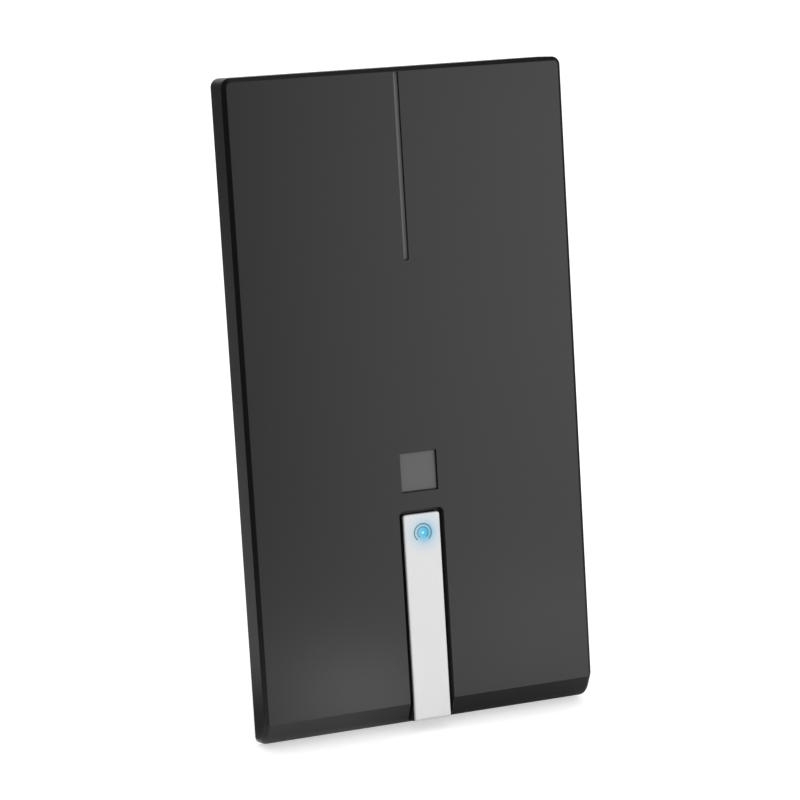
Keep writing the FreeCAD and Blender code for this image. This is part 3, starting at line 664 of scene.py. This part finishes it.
# The studio: a white floor and room, grey cards that paint shade and light into the panel's gloss, and lamps
# for its gloss, in metres
FLOOR_REACH = 4.0
FLOOR_GLOW = 0.5
ROOM_LIGHT = 0.93
CARD_LIFT = 0.0008


def seen_directly(tree):
    """1 for what the camera sees, also by way of gloss or clear parts, and 0 for the light in the room."""
    camera = tree.node("ShaderNodeLightPath", out="Is Camera Ray")
    return camera.most(camera.other("Is Glossy Ray")).most(camera.other("Is Transmission Ray"))


def floor_finish():
    """A white floor that reads as white all over and keeps the object's shadow."""
    finish = Finish("floor_white", roughness=0.8, specular_ior_level=0.0, emission_strength=1.0)
    cloud = finish.noise(finish.place(), 60.0)
    finish.set(base_color=finish.toned(WHITE, 0.78 + 0.02 * cloud))
    finish.set(emission_color=finish.toned(grey(FLOOR_GLOW), seen_directly(finish)))
    return finish


def staged(name, corners, material):
    """A flat sheet of the studio, which isn't part of the object."""
    mesh = bpy.data.meshes.new(name)
    mesh.from_pydata([Vector(corner) for corner in corners], [], [tuple(range(len(corners)))])
    mesh.materials.append(material)
    item = bpy.data.objects.new(name, mesh)
    scene.collection.objects.link(item)
    return item


def shade_card(name, tones, corners):
    """A grey card that only the object's gloss shows, with a tone at each corner: a painted reflection, dark
    for shade and pale for light.
    """
    finish = Finish(name, roughness=1.0, specular_ior_level=0.0)
    finish.set(base_color=finish.node("ShaderNodeAttribute", {"attribute_name": "tone"}, out="Fac"))
    card = staged(name, corners, finish.material)
    tone = card.data.attributes.new("tone", "FLOAT", "POINT")
    tone.data.foreach_set("value", tones)
    for ray in ("camera", "diffuse", "shadow", "transmission"):
        setattr(card, f"visible_{ray}", False)


def upright(start, end, top, foot=0.0):
    """Corners of a card that stands between two places: two at its foot, then two at its top."""
    return [(*start, foot), (*end, foot), (*end, top), (*start, top)]


def level(left, right, front, back, height=CARD_LIFT):
    """Corners of a card that lies level: two at its front, then two at its back."""
    return [(left, front, height), (right, front, height), (right, back, height), (left, back, height)]


def even(tone):
    """A card's tones, the same at all four corners."""
    return (tone, tone, tone, tone)


def fading(first, last):
    """A card's tones from its foot to its top, or from its front to its back."""
    return (first, first, last, last)


def across(left, right):
    """A card's tones from its left to its right."""
    return (left, right, right, left)


BLACK = even(0.002)
LEFT = -0.12  # where the cards on the left stand
BESIDE = -0.066  # the edge of the floor's cards along the panel
# Painted reflections: dark cards paint shade, such as the floor's shadow by the panel's base, and pale ones,
# some brighter than white, paint light into the panel's gloss
CARDS = [
    ("card_left_low", fading(0.34, 0.002), upright((LEFT, -0.11), (LEFT, 0.0), 0.07)),
    ("card_left", BLACK, upright((LEFT, -0.11), (LEFT, 0.0), 0.6, 0.07)),
    ("card_back_left", fading(0.48, 0.07), upright((LEFT, 0.0), (LEFT, 0.5), 0.18)),
    ("card_back_high", even(0.07), upright((LEFT, 0.0), (LEFT, 0.5), 0.6, 0.18)),
    ("card_front_low", BLACK, upright((LEFT, -0.28), (0.03, -0.28), 0.1, 0.03)),
    ("card_front", BLACK, upright((LEFT, -0.28), (0.018, -0.28), 0.6, 0.1)),
    ("card_top", BLACK, level(-0.5, 0.7, -0.5, 0.12, 0.6)),
    ("card_right", even(0.15), upright((0.2, -0.15), (0.2, 0.4), 0.6)),
    ("card_floor_corner", even(0.6), level(LEFT, BESIDE, -0.05, -0.014)),
    ("card_floor_near", even(0.13), level(LEFT, BESIDE, -0.014, 0.012)),
    ("card_floor_beside", fading(0.13, 0.57), level(LEFT, BESIDE, 0.012, 0.055)),
    ("card_floor_far", fading(0.57, 0.55), level(LEFT, BESIDE, 0.055, 0.5)),
    ("card_floor_side", even(0.3), level(0.08, 0.2, -0.04, 0.2)),
    ("card_floor_left", across(1.1, 1.3), level(BESIDE, -0.03, -0.036, -0.02)),
    ("card_floor_middle", across(1.3, 0.44), level(-0.03, 0.008, -0.045, -0.02)),
    ("card_floor_right", across(0.4, 0.55), level(0.008, 0.08, -0.045, -0.02)),
]
SOFTBOXES = [
    # name, place, aim, size, power, whether it lights the room
    ("softbox_right", (0.85, -0.85, 0.3), (0.0, 0.0, 0.12), 0.55, 3.9, True),
    ("low_reflector", (-0.012, -0.085, 0.006), (-0.034, -0.03, 0.006), 0.045, 0.01, False),
    ("right_reflector", (0.07, -0.085, 0.02), (0.048, -0.03, 0.02), 0.06, 0.0045, False),
]


def white_room():
    """The world: white where it is seen, and a little weaker as light."""
    world = bpy.data.worlds.new("studio")
    scene.world = world
    world.use_nodes = True
    room = Nodes(world.node_tree)
    background = world.node_tree.nodes["Background"]
    room.feed(background.inputs["Color"], (*WHITE, 1.0))
    room.feed(background.inputs["Strength"], ROOM_LIGHT + (1.0 - ROOM_LIGHT) * seen_directly(room))


def softbox(name, place, aim, size, power, lights_room):
    """A square lamp. One that doesn't light the room only shows in the object's gloss."""
    light = bpy.data.lights.new(name, "AREA")
    light.shape = "SQUARE"
    light.size = size
    light.energy = power
    lamp = bpy.data.objects.new(name, light)
    lamp.location = place
    lamp.visible_camera = lights_room
    lamp.visible_diffuse = lights_room
    lamp.rotation_euler = (Vector(aim) - Vector(place)).to_track_quat("-Z", "Y").to_euler()
    scene.collection.objects.link(lamp)


# The photograph's viewpoint, from its fit to the panel's edges: angles, the focal length in pixels, and
# how far the camera stands from a point on the face and to the left of it and below, in millimetres
AZIMUTH = math.radians(-21.394)
ELEVATION = math.radians(16.869)
FOCAL_PIXELS = 2743.09
IMAGE_PIXELS = 800.0
SENSOR_WIDTH = 36.0
AIM_HEIGHT = 122.0
CAMERA_AWAY = 996.263
CAMERA_LEFT = 5.37
CAMERA_BELOW = 0.285


def photo_camera():
    """A camera at the photograph's viewpoint."""
    look = Vector((-math.sin(AZIMUTH) * math.cos(ELEVATION), math.cos(AZIMUTH) * math.cos(ELEVATION),
                   -math.sin(ELEVATION)))
    right = Vector((math.cos(AZIMUTH), math.sin(AZIMUTH), 0.0))
    up = right.cross(look)
    aim = TO_ROW @ Vector((0.0, 0.0, AIM_HEIGHT))
    camera = bpy.data.cameras.new("photo_camera")
    camera.sensor_width = SENSOR_WIDTH
    camera.lens = SENSOR_WIDTH * FOCAL_PIXELS / IMAGE_PIXELS
    camera.clip_start = 0.05
    item = bpy.data.objects.new("photo_camera", camera)
    item.location = aim - (CAMERA_AWAY * look + CAMERA_LEFT * right + CAMERA_BELOW * up) * MM
    item.rotation_euler = look.to_track_quat("-Z", "Y").to_euler()
    scene.collection.objects.link(item)
    scene.camera = item


floor_corners = level(-FLOOR_REACH, FLOOR_REACH, -FLOOR_REACH, FLOOR_REACH, 0.0)
staged("floor", floor_corners, floor_finish().material)
for card in CARDS:
    shade_card(*card)
white_room()
for lamp in SOFTBOXES:
    softbox(*lamp)
photo_camera()
scene.view_settings.view_transform = "Standard"
